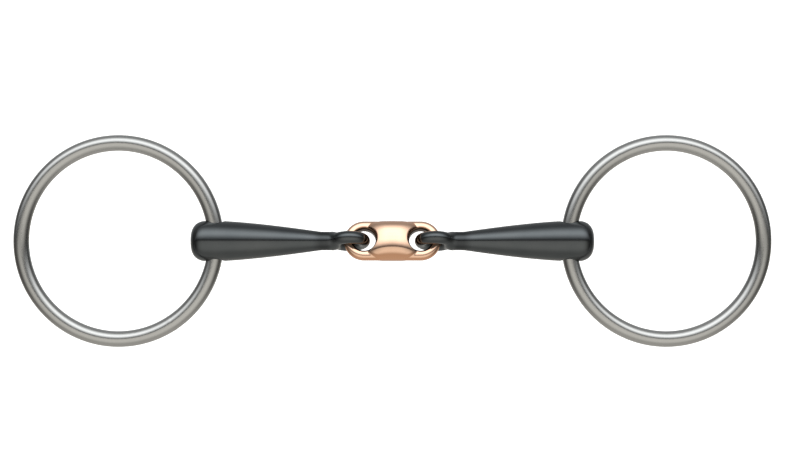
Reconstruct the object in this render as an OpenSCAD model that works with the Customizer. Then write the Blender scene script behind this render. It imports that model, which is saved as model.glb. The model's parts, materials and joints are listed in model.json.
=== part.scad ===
// Loose-ring snaffle bit with a lozenge link, lying flat as it does on a table.
// +X runs along the mouthpiece, +Z is up, and the origin is under the middle of
// the link, on the surface that the bit lies on. All sizes are in millimetres.

/* [Rings] */
// Inside diameter of each ring
ring_inner_d = 68; // [60:1:76]
// Diameter of the round bar that a ring is bent from
ring_bar_d = 6; // [5:0.25:6.5]

/* [Cannons] */
// Width of the mouthpiece, from one ring bar to the other
mouth_w = 127; // [120:1:150]
// Diameter of a cannon at its ring hole, its thickest place
barrel_d = 15.4; // [14.8:0.2:18]
// Diameter of a cannon at its neck, beside the eye
neck_d = 7; // [6.2:0.1:7.4]
// How far a cannon runs on past its ring hole's axis
barrel_overhang = 9.1; // [8.7:0.2:12.1]
// Gap all round the ring bar in its hole, beyond what the bar's curve takes up
ring_gap = 0.22; // [0.1:0.02:0.4]

/* [Eyes] */
// Diameter of the rod that an eye is bent from
eye_rod_d = 4.8; // [4.4:0.1:5]
// How far an eye's plane is rolled out of the upright
eye_roll = 16; // [0:1:20]

/* [Link] */
// Length of the link over its ends
link_l = 36.4; // [36:0.1:37]
// Width of the link
link_w = 15.2; // [14.8:0.1:15.4]
// Thickness of the link at its middle
link_t = 12.2; // [10:0.2:12.6]
// Thickness of the link at its ends, where it runs through the eyes
link_end_t = 4.2; // [3.8:0.1:4.2]
// Diameter of the two holes in the link
link_hole_d = 8.6; // [8.4:0.1:8.8]
// How far the link is rolled about the mouthpiece, as it lies in the eyes
link_roll = 20; // [0:1:24]

/* [Hidden] */
$fn = 96;

// The mouthpiece's axis: the cannons lie on the surface with their thick ends.
barrel_r = barrel_d / 2;
axis_z = barrel_r;

// Ring, and how it passes through its hole
ring_bar_r = ring_bar_d / 2;
ring_mid_r = (ring_inner_d + ring_bar_d) / 2;
// Half of the rise of the bar's curve inside the hole: the curve is centred on the hole's axis
bow = pow(barrel_r, 2) / (4 * ring_mid_r);
hole_x = mouth_w / 2 + ring_bar_r + bow;
hole_r = ring_bar_r + bow + ring_gap;
ring_reach = 2 * ring_mid_r - bow;
// A ring leans down until its far side touches the surface
ring_lean = asin((barrel_r - ring_bar_r) / ring_reach);
// Countersink at each mouth of the ring hole
mouth_flare = 0.4;

// The middle of the ring hole's wall, a sleeve that turns in a groove of its own shape
sleeve_half_l = 5.2;
sleeve_wall = 0.7;
running_gap = 0.03;

// Eye: a closed loop whose outside is as big round as the barrel
eye_rod_r = eye_rod_d / 2;
eye_mid_r = barrel_r - eye_rod_r;
eye_x = 16.1;

// Link: two drilled round ends, joined by a waist that arches up to a crown
link_end_r = link_w / 2;
link_hole_x = link_l / 2 - link_end_r;
link_hole_r = link_hole_d / 2;
link_bar_r = (link_end_r - link_hole_r) / 2;
// How far a link hole's mouths flare out
link_hole_edge = 0.7;
// The crown of the link: a rounded bar, cut down to an arched face on each side
crown_arch_r = 15;
crown_rim_r = crown_arch_r - link_t / 2;
crown_half_w = link_end_r - 0.1;
// The bar is this much too thick, so that only the arches set the link's thickness
crown_spare = 0.05;
// Powers of the rounding across: 2 would be an ellipse, and more is squarer
crown_bar_power = 2.4;
crown_arch_power = 3;

// Cannon outline: [distance from the link's middle, radius]
neck_r = neck_d / 2;
neck_x = eye_x + eye_mid_r;
neck_end_x = neck_x + 5.5;
dome_x = hole_x + 2.1;
dome_l = hole_x + barrel_overhang - dome_x;
// Power of the rounded end's curve: 2 would be an ellipse, and more is squarer
dome_power = 2.7;

// A curve from a to c that leaves a and reaches c along the lines through b
function bend(a, b, c, steps = 8) = [
    for (i = [0 : steps]) let (t = i / steps)
        pow(1 - t, 2) * a + 2 * t * (1 - t) * b + t * t * c
];

// A quarter of a squared-off ellipse, from the full radius to the tip
function dome(steps = 12) = [
    for (i = [1 : steps]) let (a = 90 * i / steps)
        [dome_x + dome_l * pow(sin(a), 2 / dome_power), barrel_r * pow(max(cos(a), 0), 2 / dome_power)]
];

// The flare leaves the neck at this slope, and eases off until it meets the barrel
flare_slope = 0.145;
flare_start = [neck_end_x + 1, neck_r + flare_slope];
flare_top_x = neck_end_x + (barrel_r - neck_r) / flare_slope;

cannon_outline = concat(
    [[neck_x, 0], [neck_x, neck_r]],
    bend([neck_x + 1.5, neck_r], [neck_end_x, neck_r], flare_start),
    bend(flare_start, [flare_top_x, barrel_r], [dome_x, barrel_r], 24),
    dome()
);

// A squared-off ellipse up to this angle: [distance across the link, height]
function squared_oval(half_h, power, end_angle) = [
    for (a = [0 : 5 : end_angle]) [
        crown_half_w * sign(cos(a)) * pow(abs(cos(a)), 2 / power),
        half_h * sign(sin(a)) * pow(abs(sin(a)), 2 / power)
    ]
];

// Turns a [distance, radius] outline about the X axis
module turned(outline) {
    rotate([0, 90, 0])
        rotate_extrude()
            polygon([for (p = outline) [p[1], p[0]]]);
}

// A round bar of radius bar_r, bent to a circle of radius mid_r about the Z axis
module hoop(mid_r, bar_r) {
    rotate_extrude()
        translate([mid_r, 0])
            circle(r = bar_r);
}

// Places its children on the mouthpiece's axis; side is 1 for right and -1 for left
module on_axis(side) {
    translate([0, 0, axis_z])
        mirror([side < 0 ? 1 : 0, 0, 0])
            children();
}

module eye_loop(bar_r) {
    translate([eye_x, 0, 0])
        rotate([90 - eye_roll, 0, 0])
            hoop(eye_mid_r, bar_r);
}

// A cylinder along Y, centred on the ring hole
module across_hole(half_l, r) {
    translate([hole_x, 0, 0])
        rotate([90, 0, 0])
            cylinder(h = 2 * half_l, r = r, center = true);
}

module hole_flare() {
    for (turn = [90, -90])
        translate([hole_x, 0, 0])
            rotate([turn, 0, 0])
                translate([0, 0, barrel_r - mouth_flare])
                    cylinder(h = 2 * mouth_flare, r1 = hole_r, r2 = hole_r + 2 * mouth_flare);
}

module eye(side) {
    color("#3a3c40")
        on_axis(side)
            eye_loop(eye_rod_r);
}

module cannon(side) {
    groove_r = hole_r + sleeve_wall + running_gap;
    color("#33383d")
        on_axis(side)
            difference() {
                turned(cannon_outline);
                eye_loop(eye_rod_r + running_gap);
                across_hole(barrel_r + 1, hole_r);
                across_hole(sleeve_half_l + running_gap, groove_r);
                hole_flare();
            }
}

module hole_wall(side) {
    color("#2d3034")
        on_axis(side)
            difference() {
                across_hole(sleeve_half_l, hole_r + sleeve_wall);
                across_hole(sleeve_half_l + 1, hole_r);
            }
}

module ring(side) {
    color("silver")
        on_axis(side)
            translate([hole_x, 0, 0])
                rotate([0, ring_lean, 0])
                    translate([ring_mid_r - bow, 0, 0])
                        hoop(ring_mid_r, ring_bar_r);
}

// The section of the link's ends and rails, from its middle out to the rounded rim
module rim_section() {
    translate([0, -link_end_t / 2])
        square([link_end_r - link_bar_r, link_end_t]);
    translate([0, link_bar_r - link_end_t / 2])
        square([link_end_r, link_end_t - 2 * link_bar_r]);
    for (side = [1, -1])
        translate([link_end_r - link_bar_r, side * (link_end_t / 2 - link_bar_r)])
            circle(r = link_bar_r);
}

// The plain flat link: two round ends and the bar between them
module link_slab() {
    for (side = [1, -1])
        translate([side * link_hole_x, 0, 0])
            rotate_extrude()
                rim_section();
    rotate([90, 0, 90])
        linear_extrude(height = 2 * link_hole_x, center = true)
            for (turn = [0, 1])
                mirror([turn, 0])
                    rim_section();
}

// The bar that the crown is cut from, along the link
module crown_bar() {
    rotate([90, 0, 90])
        linear_extrude(height = link_l, center = true)
            polygon(squared_oval(link_t / 2 + crown_spare, crown_bar_power, 355));
}

// A barrel lying across the link, whose top is one arched face of the crown
module crown_arch() {
    profile = squared_oval(link_t / 2, crown_arch_power, 180);
    translate([0, 0, -crown_rim_r])
        rotate([90, 0, 0])
            rotate_extrude()
                polygon(concat(
                    [[0, crown_half_w]],
                    [for (p = profile) [crown_rim_r + p[1], p[0]]],
                    [[0, -crown_half_w]]
                ));
}

module link_crown() {
    intersection() {
        crown_bar();
        crown_arch();
        rotate([180, 0, 0])
            crown_arch();
    }
}

// A link hole: straight in its middle, with its mouths flared, and clear above them
module link_hole() {
    mouth_r = link_hole_r + link_hole_edge;
    cylinder(h = link_t, r = link_hole_r, center = true);
    for (turn = [0, 180])
        rotate([turn, 0, 0])
            translate([0, 0, link_end_t / 2]) {
                translate([0, 0, -link_hole_edge])
                    cylinder(h = link_hole_edge, r1 = link_hole_r, r2 = mouth_r);
                cylinder(h = link_t, r = mouth_r);
            }
}

module lozenge_link() {
    color("#c8845c")
        translate([0, 0, axis_z])
            rotate([-link_roll, 0, 0])
                difference() {
                    union() {
                        link_slab();
                        link_crown();
                    }
                    for (side = [1, -1])
                        translate([side * link_hole_x, 0, 0])
                            link_hole();
                }
}

lozenge_link();
eye(-1);  // left_eye
cannon(-1);  // left_cannon
hole_wall(-1);  // left_hole_wall
ring(-1);  // left_ring
eye(1);  // right_eye
cannon(1);  // right_cannon
hole_wall(1);  // right_hole_wall
ring(1);  // right_ring
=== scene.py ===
"""A loose-ring snaffle bit with a copper lozenge link, lying flat over a white studio floor."""
import json
import math

import bmesh
import bpy
import numpy as np
from mathutils import Matrix, Vector


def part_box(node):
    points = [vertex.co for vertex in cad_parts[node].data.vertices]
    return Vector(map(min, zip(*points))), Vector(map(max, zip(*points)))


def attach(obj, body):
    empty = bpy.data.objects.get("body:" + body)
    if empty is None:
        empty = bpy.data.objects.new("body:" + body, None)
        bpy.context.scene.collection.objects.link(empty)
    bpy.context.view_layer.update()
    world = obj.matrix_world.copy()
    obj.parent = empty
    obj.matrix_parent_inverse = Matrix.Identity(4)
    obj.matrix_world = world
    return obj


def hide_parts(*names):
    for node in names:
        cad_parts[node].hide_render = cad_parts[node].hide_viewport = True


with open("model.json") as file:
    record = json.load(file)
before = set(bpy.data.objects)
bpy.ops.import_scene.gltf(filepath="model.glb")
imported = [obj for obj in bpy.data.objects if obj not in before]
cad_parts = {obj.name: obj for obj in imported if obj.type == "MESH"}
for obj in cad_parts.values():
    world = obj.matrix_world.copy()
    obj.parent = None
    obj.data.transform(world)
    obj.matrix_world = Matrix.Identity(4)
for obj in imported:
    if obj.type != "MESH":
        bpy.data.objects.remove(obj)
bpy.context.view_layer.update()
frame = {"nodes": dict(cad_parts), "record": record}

MM = 0.001
SIDES = ("left", "right")
JOINTS = {joint["name"]: joint for joint in frame["record"]["behaviour"]["joints"]}

# Sizes of the bit. The running gap is the CAD's, round an eye where it sits in its cannon's end.
RING_BAR_R = 3.0 * MM
RING_MID_R = 37.0 * MM
EYE_ROD_R = 2.4 * MM
NECK_R = 3.5 * MM
HOLE_R = 3.62 * MM
RUNNING_GAP = 0.03 * MM
AXIS_Z = JOINTS["right_tilt"]["pos_m"][2]
BARREL_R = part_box("right_cannon")[1][2] - AXIS_Z
EYE_X = JOINTS["right_tilt"]["pos_m"][0]
EYE_MID_R = BARREL_R - EYE_ROD_R
HOLE_X = JOINTS["right_swing"]["pos_m"][0]
DOME_X = HOLE_X + 2.1 * MM
CANNON_END_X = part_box("right_cannon")[1][0]

# How far the link's sides are coloured darker, where the painted shade on the walls of its holes is 1
SIDE_DARKENING = 0.35


# ---------------------------------------------------------------- meshes

def grid_mesh(name, rows, close_rows=False):
    """A smooth mesh of rows of points. Each row is a closed loop; a row of one point is a pole."""
    verts = []
    starts = []
    for row in rows:
        starts.append(len(verts))
        verts.extend(map(tuple, row))
    faces = []
    pairs = list(zip(range(len(rows) - 1), range(1, len(rows))))
    if close_rows:
        pairs.append((len(rows) - 1, 0))
    for i, j in pairs:
        count = max(len(rows[i]), len(rows[j]))
        for k in range(count):
            n = (k + 1) % count
            a = [starts[i]] if len(rows[i]) == 1 else [starts[i] + k, starts[i] + n]
            b = [starts[j]] if len(rows[j]) == 1 else [starts[j] + n, starts[j] + k]
            faces.append(a + b)
    return mesh_object(name, verts, faces)


def mesh_object(name, verts, faces):
    mesh = bpy.data.meshes.new(name)
    mesh.from_pydata(verts, [], faces)
    bm = bmesh.new()
    bm.from_mesh(mesh)
    bmesh.ops.recalc_face_normals(bm, faces=bm.faces)
    if bm.calc_volume(signed=True) < 0:
        bmesh.ops.reverse_faces(bm, faces=bm.faces)
    bm.to_mesh(mesh)
    bm.free()
    mesh.shade_smooth()
    piece = bpy.data.objects.new(name, mesh)
    bpy.context.scene.collection.objects.link(piece)
    return piece


def apply_modifiers(piece):
    """Replaces a piece's mesh with the result of its modifiers."""
    bpy.context.view_layer.update()
    graph = bpy.context.evaluated_depsgraph_get()
    mesh = bpy.data.meshes.new_from_object(piece.evaluated_get(graph))
    piece.modifiers.clear()
    piece.data = mesh


def cut(piece, cutter):
    """Takes the cutter's volume out of the piece, and deletes the cutter."""
    boolean = piece.modifiers.new("cut", "BOOLEAN")
    boolean.object = cutter
    boolean.operation = "DIFFERENCE"
    boolean.solver = "EXACT"
    apply_modifiers(piece)
    bpy.data.objects.remove(cutter)


def mirrored(piece, name):
    """A copy of a piece, mirrored to the other side of the link."""
    mesh = piece.data.copy()
    mesh.transform(Matrix.Scale(-1, 4, (1, 0, 0)))
    mesh.flip_normals()
    twin = bpy.data.objects.new(name, mesh)
    bpy.context.scene.collection.objects.link(twin)
    return twin


def mark(piece, name, values):
    """Stores a number at each vertex, for a material to read."""
    layer = piece.data.attributes.new(name, "FLOAT", "POINT")
    layer.data.foreach_set("value", np.asarray(values, dtype=np.float32))


def vertices(piece):
    points = np.empty(3 * len(piece.data.vertices))
    piece.data.vertices.foreach_get("co", points)
    return points.reshape(-1, 3)


def smooth_by_angle(piece, degrees):
    """Smooth shading, with edges sharper than this angle left crisp, weighted by face size."""
    piece.data.shade_smooth()
    piece.data.set_sharp_from_angle(angle=math.radians(degrees))
    weighted = piece.modifiers.new("weighted", "WEIGHTED_NORMAL")
    weighted.keep_sharp = True
    apply_modifiers(piece)


def hoop_rows(centre, normal, mid_r, bar_r, around, across, swell=None):
    """Rows of a round bar bent to a circle. swell gives how much fatter the bar is at an angle."""
    z = Vector(normal).normalized()
    x = Vector((1, 0, 0)) - Vector((1, 0, 0)).dot(z) * z
    x.normalize()
    y = z.cross(x)
    rows = []
    for i in range(around):
        turn = 2 * math.pi * i / around
        radial = math.cos(turn) * x + math.sin(turn) * y
        r = bar_r * (1 + (swell(turn) if swell else 0))
        row = []
        for k in range(across):
            lean = 2 * math.pi * k / across
            row.append(Vector(centre) + (mid_r + r * math.cos(lean)) * radial + r * math.sin(lean) * z)
        rows.append(row)
    return rows


# ---------------------------------------------------------------- pieces

def build_ring(side, finish):
    """A welded ring of round bar, its weld dressed down to a barely swollen band."""
    name = f"{side}_ring"
    spin = JOINTS[f"{side}_spin"]
    weld_turn = math.radians(-57 if side == "left" else 118)
    weld_spread = 0.9 * MM / RING_MID_R
    weld_swell = 0.012

    def swell(turn):
        away = math.remainder(turn - weld_turn, 2 * math.pi)
        return weld_swell * math.exp(-(away / weld_spread) ** 2)

    rows = hoop_rows(spin["pos_m"], spin["axis"], RING_MID_R, RING_BAR_R,
                     around=720, across=64, swell=swell)
    piece = grid_mesh(f"{name}_bar", rows, close_rows=True)
    finish_piece(piece, name, name, finish)


def build_eye(side, finish):
    name = f"{side}_eye"
    tilt = JOINTS[f"{side}_tilt"]
    rows = hoop_rows(tilt["pos_m"], tilt["axis"], EYE_MID_R, EYE_ROD_R, around=256, across=72)
    piece = grid_mesh(f"{name}_loop", rows, close_rows=True)
    finish_piece(piece, name, name, finish)


def barrel_radius(x):
    """The cannon's radius at a distance from the link's middle: neck, easing flare, rounded end."""
    flare_slope = 0.145
    foot_x = 26.9 * MM
    foot_half_l = 1 * MM
    dome_power = 2.7
    flare_x = foot_x + foot_half_l
    flare_r = NECK_R + flare_slope * foot_half_l
    corner_x = foot_x + (BARREL_R - NECK_R) / flare_slope
    if x <= foot_x - foot_half_l:
        return NECK_R
    if x <= flare_x:
        t = (x - foot_x + foot_half_l) / (2 * foot_half_l)
        return NECK_R + flare_slope * foot_half_l * t * t
    if x <= DOME_X:
        a = flare_x - 2 * corner_x + DOME_X
        b = 2 * (corner_x - flare_x)
        t = (-b + math.sqrt(b * b - 4 * a * (flare_x - x))) / (2 * a)
        return BARREL_R - (BARREL_R - flare_r) * (1 - t) ** 2
    share = min(1.0, (x - DOME_X) / (CANNON_END_X - DOME_X))
    return BARREL_R * (1 - share ** dome_power) ** (1 / dome_power)


def eye_distance(x, y, z):
    """How far a point is from the eye's rod, in the eye's frame: its axis is y."""
    return np.hypot(np.hypot(x - EYE_X, z) - EYE_MID_R, y) - EYE_ROD_R


def neck_distance(x, y, z):
    """How far a point is from the neck, which ends in a half-round shoulder inside the eye's rod."""
    shoulder_x = 22.9 * MM
    return np.hypot(np.minimum(x - shoulder_x, 0), np.hypot(y, z)) - NECK_R


def blend(a, b, width):
    """A smooth union of two distances."""
    h = np.maximum(width - np.abs(a - b), 0) / width
    return np.minimum(a, b) - h * h * width / 4


def along_ray(field, x, c, s):
    """Where each ray out from the mouthpiece's axis leaves a solid given by its distance field."""
    outside_r = 9 * MM
    halvings = 40
    low = np.zeros_like(x)
    high = np.full_like(x, outside_r)
    for _ in range(halvings):
        mid = (low + high) / 2
        inside = field(x, mid * c, mid * s) < 0
        low = np.where(inside, mid, low)
        high = np.where(inside, high, mid)
    return low


def neck_rows(turns, start_x):
    """Rows from the flare's foot over the blend into the eye, then under it along the eye's rod."""
    blend_w = 1.9 * MM
    # The skin ends where this share of the blend has run out into the bare rod. That place is looked
    # for from the crotch of the eye to just short of its tip.
    spent_share = 0.95
    crotch_x = 19.4 * MM
    tip_x = EYE_X + EYE_MID_R + EYE_ROD_R - 0.05 * MM
    search_steps = 160
    skin_rows = 40
    underside_rows = 12
    c, s = np.cos(turns), np.sin(turns)

    def skin_distance(x, y, z):
        return blend(neck_distance(x, y, z), eye_distance(x, y, z), blend_w)

    rim = np.full_like(turns, crotch_x)
    for x in np.linspace(crotch_x, tip_x, search_steps):
        at = np.full_like(turns, x)
        rod = along_ray(eye_distance, at, c, s)
        clear = neck_distance(at, rod * c, rod * s) >= spent_share * blend_w
        rim = np.where(clear, x, rim)
    rows = []
    for t in np.linspace(0, 1, skin_rows):
        x = start_x + (rim - start_x) * t
        r = along_ray(skin_distance, x, c, s)
        rows.append(np.stack([x, r * c, r * s], axis=1))
    x, y, z = rows[-1].T
    lean = np.arctan2(z, x - EYE_X)
    roll = np.arctan2(y, np.hypot(x - EYE_X, z) - EYE_MID_R)
    rod_r = EYE_ROD_R + RUNNING_GAP
    for t in np.linspace(1, 0, underside_rows)[:-1]:
        reach = EYE_MID_R + rod_r * np.cos(roll * t)
        x = EYE_X + reach * np.cos(lean * t)
        y = rod_r * np.sin(roll * t)
        z = reach * np.sin(lean * t)
        rows.append(np.stack([x, y, z], axis=1))
    rows.append(np.array([[EYE_X + EYE_MID_R + rod_r, 0, 0]]))
    return rows


def in_place(rows):
    """Moves rows from the eye's frame, x out from the link, to the right side's place."""
    axis = Vector(JOINTS["right_tilt"]["axis"])
    up = Vector((1, 0, 0)).cross(axis)
    placed = []
    for row in rows:
        placed.append([Vector((x, 0, AXIS_Z)) + axis * float(y) + up * float(z) for x, y, z in row])
    return placed


def hole_cutter():
    """The ring hole: a bore with rounded mouths, and a groove in its middle for the hole's wall."""
    groove_r = 4.35 * MM
    groove_half_l = 5.23 * MM
    mouth_y = 7.1 * MM
    mouth_r = 0.5 * MM
    mouth_turn = math.radians(78)
    mouth_steps = 8
    # Outside the barrel the cutter opens on, at this slope
    flare_slope = math.tan(mouth_turn) / 2
    far_y = 9 * MM
    around = 96
    outline = [(0, groove_r), (groove_half_l, groove_r), (groove_half_l, HOLE_R)]
    for i in range(mouth_steps + 1):
        a = mouth_turn * i / mouth_steps
        outline.append((mouth_y + mouth_r * math.sin(a), HOLE_R + mouth_r * (1 - math.cos(a))))
    lip_y, lip_r = outline[-1]
    outline.append((far_y, lip_r + (far_y - lip_y) * flare_slope))
    full = [(-y, r) for y, r in reversed(outline[1:])] + outline
    turns = np.linspace(0, 2 * math.pi, around, endpoint=False)
    rows = [[(HOLE_X, -far_y, AXIS_Z)]]
    for y, r in full:
        rows.append([(HOLE_X + r * math.cos(a), y, AXIS_Z + r * math.sin(a)) for a in turns])
    rows.append([(HOLE_X, far_y, AXIS_Z)])
    return grid_mesh("hole_cutter", rows)


def cannon_skin():
    """The right cannon: rounded end, flare and neck as one turned skin, then the ring hole."""
    around = 192
    flare_rows = 150
    dome_rows = 40
    start_x = 25.5 * MM
    turns = np.linspace(0, 2 * math.pi, around, endpoint=False)
    c, s = np.cos(turns), np.sin(turns)
    body = list(np.linspace(start_x, DOME_X, flare_rows)[1:])
    for a in np.linspace(0, math.pi / 2, dome_rows)[1:-1]:
        body.append(DOME_X + (CANNON_END_X - DOME_X) * math.sin(a))
    rows = [np.array([[CANNON_END_X, 0, 0]])]
    for x in reversed(body):
        r = barrel_radius(x)
        rows.append(np.stack([np.full_like(c, x), r * c, r * s], axis=1))
    rows += neck_rows(turns, start_x)
    piece = grid_mesh("right_cannon_body", in_place(rows))
    cut(piece, hole_cutter())
    return piece


def build_cannons(finish):
    right = cannon_skin()
    left = mirrored(right, "left_cannon_body")
    for name, piece in (("right_cannon", right), ("left_cannon", left)):
        smooth_by_angle(piece, degrees=40)
        finish_piece(piece, name, name, finish)


def build_link(finish):
    """The cast link: the CAD shape as a fine skin, its edges rolled over as polishing leaves them."""
    source = frame["nodes"]["lozenge_link"]
    piece = bpy.data.objects.new("lozenge_link_casting", source.data.copy())
    bpy.context.scene.collection.objects.link(piece)
    piece.data.materials.clear()
    remesh = piece.modifiers.new("remesh", "REMESH")
    remesh.mode = "VOXEL"
    remesh.voxel_size = 0.13 * MM
    apply_modifiers(piece)
    ease_crown(piece)
    soften = piece.modifiers.new("soften", "SMOOTH")
    soften.factor = 0.5
    soften.iterations = 14
    apply_modifiers(piece)
    piece.data.shade_smooth()
    # Painted shade on the walls of the holes, and a darker colour on the link's sides, for the material to
    # read
    mark(piece, "hole_shade_side_dark", np.maximum(hole_painted_shade(vertices(piece)), SIDE_DARKENING * side_share(piece)))
    finish_piece(piece, "link", "lozenge_link", finish)


def squared_oval(distance, half_w, power):
    """The height, as a share of the full height, of a squared-off ellipse."""
    return np.maximum(1 - (np.abs(distance) / half_w) ** power, 0) ** (1 / power)


def ease_crown(piece):
    """Scales the crown's height, so that its cut faces run into each other as one smooth saddle."""
    half_t = 6.1 * MM
    cut_half_w = 7.5 * MM
    bar_half_t = 6.15 * MM
    bar_power = 2.4
    arch_r = 15 * MM
    arch_power = 3
    saddle_r = 14 * MM
    saddle_half_w = 7.3 * MM
    saddle_power = 2.9
    rail_z = 2.1 * MM
    fade = 1.0 * MM
    fold_axis = Vector(JOINTS["right_fold"]["axis"])
    turn = np.array(Vector((0, 0, 1)).rotation_difference(fold_axis).to_matrix())
    middle = np.array((0, 0, AXIS_Z))
    points = (vertices(piece) - middle) @ turn
    x, y, z = points.T
    bar_top = bar_half_t * squared_oval(y, cut_half_w, bar_power)
    reach = arch_r - half_t + half_t * squared_oval(y, cut_half_w, arch_power)
    arch_top = np.sqrt(np.maximum(reach ** 2 - x ** 2, 0)) - (arch_r - half_t)
    top = np.maximum(np.minimum(bar_top, arch_top), rail_z)
    ridge = np.sqrt(np.maximum(saddle_r ** 2 - x ** 2, 0)) - (saddle_r - half_t)
    eased = np.maximum(ridge * squared_oval(y, saddle_half_w, saddle_power), rail_z)
    share = np.clip((np.abs(z) - rail_z) / fade, 0, 1)
    points[:, 2] = z * (1 + share * (eased / top - 1))
    piece.data.vertices.foreach_set("co", (points @ turn.T + middle).ravel())


def side_share(piece):
    """0 on the link's two faces, rising to 1 on its sides, which are coloured darker."""
    face_edge = 0.78
    fade = 0.3
    normals = np.empty(3 * len(piece.data.vertices))
    piece.data.vertices.foreach_get("normal", normals)
    facing = np.abs(normals.reshape(-1, 3) @ np.array(JOINTS["right_fold"]["axis"]))
    return np.clip((face_edge - facing) / fade, 0, 1)


def hole_painted_shade(points):
    """0 on the link's outside, rising to 1 at the walls of its two holes: how much painted shade goes
    there.
    """
    clean_r = 5.1 * MM
    wall_r = 4.35 * MM
    axis = np.array(JOINTS["right_fold"]["axis"])
    depth = np.zeros(len(points))
    for side in SIDES:
        out = points - np.array(JOINTS[f"{side}_fold"]["pos_m"])
        reach = np.linalg.norm(np.cross(out, axis), axis=1)
        depth = np.maximum(depth, np.clip((clean_r - reach) / (clean_r - wall_r), 0, 1))
    return depth


def finish_piece(piece, body, node, finish):
    """Gives a piece its material and its body, and hides the CAD node that it stands for."""
    piece.data.materials.clear()
    piece.data.materials.append(finish)
    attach(piece, body)
    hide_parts(node)


# ---------------------------------------------------------------- materials

class Nodes:
    """A short way to write a node tree."""

    def __init__(self, tree):
        self.tree = tree

    def add(self, kind, **settings):
        node = self.tree.nodes.new(kind)
        for key, value in settings.items():
            setattr(node, key, value)
        return node

    def set(self, socket, value):
        if isinstance(value, bpy.types.NodeSocket):
            self.tree.links.new(value, socket)
        else:
            socket.default_value = value

    def place(self, kind):
        return self.add("ShaderNodeTexCoord").outputs[kind]

    def math(self, operation, *values):
        node = self.add("ShaderNodeMath", operation=operation)
        for socket, value in zip(node.inputs, values):
            self.set(socket, value)
        return node.outputs[0]

    def between(self, share, low, high):
        """The number that is this share of the way from low to high."""
        return self.math("MULTIPLY_ADD", share, high - low, low)

    def noise(self, vector, scale, detail, roughness=0.5):
        node = self.add("ShaderNodeTexNoise")
        self.set(node.inputs["Vector"], vector)
        node.inputs["Scale"].default_value = scale
        node.inputs["Detail"].default_value = detail
        node.inputs["Roughness"].default_value = roughness
        return node.outputs["Fac"]

    def ramp(self, value, stops):
        """A colour ramp; each stop is (position, grey or colour)."""
        node = self.add("ShaderNodeValToRGB")
        self.set(node.inputs[0], value)
        elements = node.color_ramp.elements
        while len(elements) > 1:
            elements.remove(elements[-1])
        for i, (place, colour) in enumerate(stops):
            element = elements[0] if i == 0 else elements.new(place)
            element.position = place
            grey = colour if isinstance(colour, tuple) else (colour,) * 3
            element.color = (*grey, 1)
        return node.outputs["Color"]

    def split(self, vector):
        node = self.add("ShaderNodeSeparateXYZ")
        self.set(node.inputs[0], vector)
        return node.outputs

    def mix(self, share, a, b, blend="MIX"):
        node = self.add("ShaderNodeMix", data_type="RGBA", blend_type=blend)
        self.set(node.inputs["Factor"], share)
        self.set(node.inputs[6], a)
        self.set(node.inputs[7], b)
        return node.outputs[2]

    def bump(self, height, strength, distance):
        node = self.add("ShaderNodeBump")
        self.set(node.inputs["Height"], height)
        node.inputs["Strength"].default_value = strength
        node.inputs["Distance"].default_value = distance
        return node.outputs["Normal"]


def new_material(name):
    material = bpy.data.materials.new(name)
    material.use_nodes = True
    tree = material.node_tree
    tree.nodes.clear()
    nodes = Nodes(tree)
    output = nodes.add("ShaderNodeOutputMaterial")
    shader = nodes.add("ShaderNodeBsdfPrincipled")
    tree.links.new(shader.outputs[0], output.inputs[0])
    return material, nodes, shader


def satin_steel():
    """Stainless bar, satin finished: fine dressing marks and faint handling scuffs."""
    darker = (0.52, 0.52, 0.51, 1)
    lighter = (0.57, 0.57, 0.56, 1)
    material, nodes, shader = new_material("satin_steel")
    place = nodes.place("Object")
    clouds = nodes.noise(place, scale=60, detail=3)
    scuffs = nodes.noise(place, scale=900, detail=4, roughness=0.7)
    nodes.set(shader.inputs["Base Color"], nodes.mix(clouds, darker, lighter))
    shader.inputs["Metallic"].default_value = 1
    nodes.set(shader.inputs["Roughness"], nodes.between(scuffs, low=0.17, high=0.27))
    nodes.set(shader.inputs["Normal"], nodes.bump(scuffs, strength=0.05, distance=0.02 * MM))
    return material


def blued_iron():
    """Sweet iron with its blue-grey heat oxide, cloudy and finely pitted, with painted shade round the
    necks between eye and flare.
    """
    darker = (0.089, 0.099, 0.105, 1)
    lighter = (0.127, 0.135, 0.139, 1)
    neck_shade = 0.62
    # How far out from the link the painted shade on the necks comes and goes, as shares of the ramp's reach
    reach = 50 * MM
    neck_shade_stops = [(0.46, 1.0), (0.49, neck_shade), (0.54, neck_shade), (0.60, 1.0)]
    material, nodes, shader = new_material("blued_iron")
    place = nodes.place("Object")
    clouds = nodes.noise(place, scale=110, detail=4, roughness=0.55)
    grain = nodes.noise(place, scale=1400, detail=5, roughness=0.7)
    along = nodes.math("ABSOLUTE", nodes.split(place)[0])
    # Painted shade: the necks darkened where they run between the eye and the flare
    neck = nodes.ramp(nodes.math("MULTIPLY", along, 1 / reach), neck_shade_stops)
    tint = nodes.mix(1, nodes.mix(clouds, darker, lighter), neck, "MULTIPLY")
    nodes.set(shader.inputs["Base Color"], tint)
    shader.inputs["Metallic"].default_value = 1
    nodes.set(shader.inputs["Roughness"], nodes.between(grain, low=0.12, high=0.24))
    nodes.set(shader.inputs["Normal"], nodes.bump(grain, strength=0.10, distance=0.02 * MM))
    return material


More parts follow.
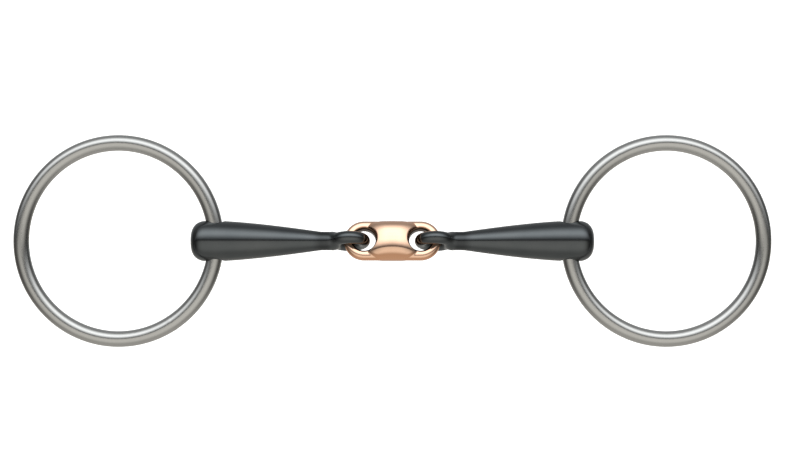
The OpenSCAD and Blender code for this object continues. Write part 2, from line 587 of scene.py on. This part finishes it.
def polished_copper():
    """Copper casting, buffed by hand: warm and softly rippled, with painted shade on the walls of its holes
    and a darker colour on its sides.
    """
    darker = (0.95, 0.60, 0.42, 1)
    lighter = (0.98, 0.66, 0.48, 1)
    clean = (1.0, 1.0, 1.0)
    side_darker = (0.95, 0.78, 0.65)
    # The colour of the painted shade on the walls of the holes
    hole_shade = (0.09, 0.08, 0.08)
    material, nodes, shader = new_material("polished_copper")
    place = nodes.place("Object")
    clouds = nodes.noise(place, scale=180, detail=4, roughness=0.6)
    ripple = nodes.noise(place, scale=400, detail=2)
    hole_shade_side_dark = nodes.add("ShaderNodeAttribute", attribute_name="hole_shade_side_dark").outputs["Fac"]
    # Painted shade: black at the walls of the holes, and a darker colour on the sides
    hole_shade_side_tint = nodes.ramp(hole_shade_side_dark, [(0.0, clean), (SIDE_DARKENING, side_darker), (1.0, hole_shade)])
    tint = nodes.mix(1, nodes.mix(clouds, darker, lighter), hole_shade_side_tint, "MULTIPLY")
    nodes.set(shader.inputs["Base Color"], tint)
    shader.inputs["Metallic"].default_value = 1
    nodes.set(shader.inputs["Roughness"], nodes.between(clouds, low=0.08, high=0.16))
    nodes.set(shader.inputs["Normal"], nodes.bump(ripple, strength=0.12, distance=0.05 * MM))
    return material


# ---------------------------------------------------------------- studio

def studio_world():
    """The studio that the metal reflects: a long softbox towards +Y, a dim gap straight up, grey card
    towards -Y, and darker ends. It depends only on direction in the room."""
    strength = 1.93
    card = (1.03, 1.0, 0.93)
    softbox = (0.98, 1.0, 1.01)
    # Degrees from straight up, more towards +Y: where the card ends, and the light at each angle
    card_edge = 3
    arch = [(-180, 0.25), (-120, 0.27), (-95, 0.26), (-75, 0.25), (-62, 0.30), (-48, 0.39), (-30, 0.43),
            (-12, 0.41), (-4, 0.38), (0, 0.34), (2.5, 0.12), (5.5, 0.04), (9, 0.07), (16, 0.25), (26, 0.56),
            (36, 0.86), (44, 1.0), (56, 0.92), (70, 0.55), (84, 0.26), (95, 0.18), (120, 0.20), (180, 0.25)]
    # Share of that light against how far a direction points along the bit
    falloff = [(0.0, 1.0), (0.35, 1.0), (0.62, 0.82), (0.80, 0.48), (0.93, 0.20), (1.0, 0.14)]
    world = bpy.data.worlds.new("studio")
    world.use_nodes = True
    tree = world.node_tree
    tree.nodes.clear()
    nodes = Nodes(tree)
    x, y, z = nodes.split(nodes.place("Generated"))
    lean = nodes.math("MULTIPLY_ADD", nodes.math("ARCTAN2", y, z), 1 / (2 * math.pi), 0.5)
    stops = []
    for angle, light in arch:
        tint = card if angle < card_edge else softbox
        stops.append((0.5 + angle / 360, tuple(light * share for share in tint)))
    across = nodes.ramp(lean, stops)
    ends = nodes.ramp(nodes.math("ABSOLUTE", x), falloff)
    background = nodes.add("ShaderNodeBackground")
    nodes.set(background.inputs["Color"], nodes.mix(1, across, ends, "MULTIPLY"))
    background.inputs["Strength"].default_value = strength
    output = nodes.add("ShaderNodeOutputWorld")
    tree.links.new(background.outputs[0], output.inputs[0])
    bpy.context.scene.world = world


def studio_floor():
    """A white floor, far enough below the bit to clear every pose, and wide enough to show no edge.
    Metal doesn't mirror it, so the bars keep the dark edges of a lit cut-out."""
    size = 60.0
    drop = 0.16
    bpy.ops.mesh.primitive_plane_add(size=size, location=(0, 0, -drop))
    floor = bpy.context.object
    floor.name = "floor"
    floor.visible_glossy = False
    material, _, shader = new_material("white_floor")
    shader.inputs["Base Color"].default_value = (0.9, 0.9, 0.9, 1)
    shader.inputs["Roughness"].default_value = 1
    shader.inputs["Emission Color"].default_value = (1, 1, 1, 1)
    shader.inputs["Emission Strength"].default_value = 0.75
    floor.data.materials.append(material)


def studio_camera():
    """Straight down, a little right of and above the bit's middle, from well back."""
    height = 1.2
    view_w = 301.92 * MM
    middle_z = 5.4 * MM
    aim_x = 2.87 * MM
    aim_y = 4.34 * MM
    camera = bpy.data.cameras.new("camera")
    camera.sensor_width = 36
    camera.lens = camera.sensor_width * (height - middle_z) / view_w
    eye = bpy.data.objects.new("camera", camera)
    eye.location = (aim_x, aim_y, height)
    bpy.context.scene.collection.objects.link(eye)
    bpy.context.scene.camera = eye


def main():
    bpy.context.scene.view_settings.view_transform = "Standard"
    studio_world()
    studio_floor()
    studio_camera()
    steel = satin_steel()
    iron = blued_iron()
    copper = polished_copper()
    build_link(copper)
    build_cannons(iron)
    for side in SIDES:
        build_ring(side, steel)
        build_eye(side, iron)
        wall = frame["nodes"][f"{side}_hole_wall"]
        wall.data.materials.clear()
        wall.data.materials.append(iron)


main()
